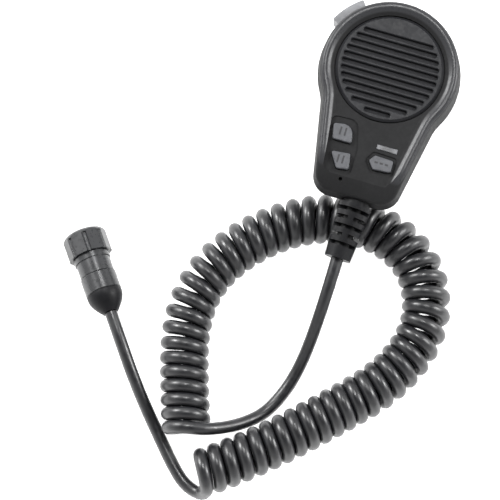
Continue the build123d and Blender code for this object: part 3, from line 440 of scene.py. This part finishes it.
PLUG_LEAD = [
    (-0.0877, -0.1185, 0.0149),
    (-0.0810, -0.1280, 0.0159),
    (-0.0707, -0.1422, 0.0122),
    (-0.0612, -0.1536, 0.0056),
    (-0.0528, -0.1630, 0.0028),
    (-0.0445, -0.1726, 0.0029),
    (-0.0362, -0.1806, 0.0030),
    (-0.0276, -0.1832, 0.0052),
]


def nurbs_curve(name, points, fineness):
    """A smooth open curve with these control points."""
    curve = bpy.data.curves.new(name, "CURVE")
    curve.dimensions = "3D"
    curve.resolution_u = fineness
    spline = curve.splines.new("NURBS")
    spline.points.add(len(points) - 1)
    for control, point in zip(spline.points, points):
        control.co = (*point, 1.0)
    spline.order_u = 3
    spline.use_endpoint_u = True
    return curve


def followed(points):
    """Points along the smooth curve through a route, close together."""
    curve = nurbs_curve("route", points, 24)
    carrier = bpy.data.objects.new("route", curve)
    mesh = bpy.data.meshes.new_from_object(carrier)
    line = [v.co.copy() for v in mesh.vertices]
    bpy.data.meshes.remove(mesh)
    bpy.data.objects.remove(carrier)
    return line


def eased(pairs, share):
    """The value at a share of the way, between the pairs' values."""
    for (low, a), (high, b) in zip(pairs, pairs[1:]):
        if share <= high:
            return a + (b - a) * (share - low) / (high - low)
    return pairs[-1][1]


def coil_turns():
    """The curly cord's helix round its route: left-handed, and open where the coil bends."""
    line = followed([(x, y, COIL_Z) for x, y in COIL_PLAN])
    steps = [(b - a).length for a, b in zip(line, line[1:])]
    whole = sum(steps)
    # turns grow along the route, fewer of them where a bend presses its inner side together
    angles = [0.0]
    gone = 0.0
    for i, step in enumerate(steps):
        before = line[i] - line[max(i - BEND_REACH, 0)] if i else line[1] - line[0]
        ahead = min(i + 1 + BEND_REACH, len(line) - 1)
        after = line[ahead] - line[min(i + 1, len(line) - 2)]
        bend = before.angle(after) if before.length and after.length else 0.0
        span = (before.length + after.length) / 2 + step
        squeeze = max(MOST_SQUEEZE, 1 - COIL_R * bend / span)
        pitch = TIGHT_PITCH / squeeze + eased(LOOSENESS, gone / whole)
        gone += step
        angles.append(angles[-1] + math.tau * step / pitch)
    turns = round(angles[-1] / math.tau - LAST_PART_TURN) + LAST_PART_TURN
    scale = turns * math.tau / angles[-1]
    radius = COIL_R / math.cos(math.pi / TURN_POINTS)
    points = []
    i = 0
    for k in range(int(turns * TURN_POINTS) + 1):
        angle = math.tau * k / TURN_POINTS
        while i < len(angles) - 2 and angles[i + 1] * scale < angle:
            i += 1
        share = (angle / scale - angles[i]) / (angles[i + 1] - angles[i])
        middle = line[i].lerp(line[i + 1], min(1.0, share))
        across = UP.cross((line[i + 1] - line[i]).normalized())
        points.append(middle + radius * (math.cos(angle) * UP + math.sin(angle) * across))
    return points, turns


def make_cord(material):
    """The whole jacket as one curve: the microphone's lead, the coil and the plug's lead."""
    turns, count = coil_turns()
    points = [Vector(p) for p in MIC_LEAD[:-1]] + turns + [Vector(p) for p in PLUG_LEAD[::-1]]
    curve = nurbs_curve("cord", points, 4)
    wound = len(MIC_LEAD) - 1
    for control in curve.splines[0].points[wound:wound + len(turns)]:
        control.radius = COIL_SWELL
    curve.bevel_depth = CORD_D / 2
    curve.bevel_resolution = 5
    curve.use_fill_caps = True
    cord = bpy.data.objects.new("cord", curve)
    bpy.context.scene.collection.objects.link(cord)
    cord.data.materials.append(material)
    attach(cord, "case")
    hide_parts("mic_lead", "curly_cord", "plug_lead")
    print("turns in the coil:", count)


# --- light and floor ------------------------------------------------------------------
PICTURE_RIGHT = Vector((math.cos(VIEW_TURN), math.sin(VIEW_TURN), 0))
PICTURE_UP = Vector((-math.sin(VIEW_TURN), math.cos(VIEW_TURN), 0))
# Each soft box: its name, how far right, up the picture and above the table, size and watts.
SOFT_BOXES = [
    ("key", -1.1, 0.9, 1.0, 0.6, 28.0),
    ("side", 1.3, 0.25, 0.9, 0.6, 20.0),
    ("top", 0.1, 0.62, 1.6, 0.3, 13.0),
]
WASH_STRENGTH = 3.0
FLOOR_HALF = 3.0
# The studio's brightness by how steeply one looks up: from the sine of the angle where it
# starts to darken to where it is darkest, and the brightness at each.
SKY_SINES = (0.45, 0.95)
SKY_BRIGHTNESS = (1.0, 0.05)


def make_light(name, right, up, height, size, power):
    """A square soft box over the object, placed in the picture's directions, aimed at it."""
    light = bpy.data.objects.new(name, bpy.data.lights.new(name, "AREA"))
    light.data.size = size
    light.data.energy = power
    light.location = VIEW_AIM + PICTURE_RIGHT * right + PICTURE_UP * up + UP * height
    light.rotation_mode = "QUATERNION"
    light.rotation_quaternion = (VIEW_AIM - light.location).to_track_quat("-Z", "Y")
    bpy.context.scene.collection.objects.link(light)


def make_wash(floor):
    """Even light from straight above for the floor alone, which keeps it free of shadows."""
    lit = bpy.data.collections.new("lit_by_wash")
    lit.objects.link(floor)
    wash = bpy.data.objects.new("wash", bpy.data.lights.new("wash", "SUN"))
    wash.data.energy = WASH_STRENGTH
    wash.data.use_shadow = False
    wash.visible_glossy = False
    wash.light_linking.receiver_collection = lit
    bpy.context.scene.collection.objects.link(wash)


def make_floor():
    mesh = bpy.data.meshes.new("floor")
    corners = [(-1, -1), (1, -1), (1, 1), (-1, 1)]
    mesh.from_pydata([(x * FLOOR_HALF, y * FLOOR_HALF, 0) for x, y in corners], [], [(0, 1, 2, 3)])
    floor = bpy.data.objects.new("floor", mesh)
    bpy.context.scene.collection.objects.link(floor)
    m = Nodes("floor_paint", (0.95, 0.95, 0.95), 0.95)
    m.shader.inputs["Specular IOR Level"].default_value = 0.1
    mesh.materials.append(m.material)
    return floor


def make_surroundings(floor):
    """A studio that is dark straight above and bright all round, and soft boxes in it."""
    world = bpy.data.worlds.new("studio")
    world.use_nodes = True
    tree = world.node_tree
    back = tree.nodes["Background"]
    back.inputs["Color"].default_value = (1.0, 1.0, 1.0, 1.0)
    place = tree.nodes.new("ShaderNodeTexCoord").outputs["Generated"]
    parts = tree.nodes.new("ShaderNodeSeparateXYZ")
    tree.links.new(place, parts.inputs["Vector"])
    climb = tree.nodes.new("ShaderNodeMapRange")
    climb.interpolation_type = "SMOOTHSTEP"
    for socket, number in zip(climb.inputs[1:5], SKY_SINES + SKY_BRIGHTNESS):
        socket.default_value = number
    tree.links.new(parts.outputs["Z"], climb.inputs["Value"])
    tree.links.new(climb.outputs["Result"], back.inputs["Strength"])
    bpy.context.scene.world = world
    bpy.context.scene.view_settings.view_transform = "Standard"
    for soft_box in SOFT_BOXES:
        make_light(*soft_box)
    make_wash(floor)


# --- everything -----------------------------------------------------------------------
make_camera()
materials = make_materials()
dress_cad_nodes(materials)
make_marks()
make_cord(materials["cord_jacket"])
make_surroundings(make_floor())
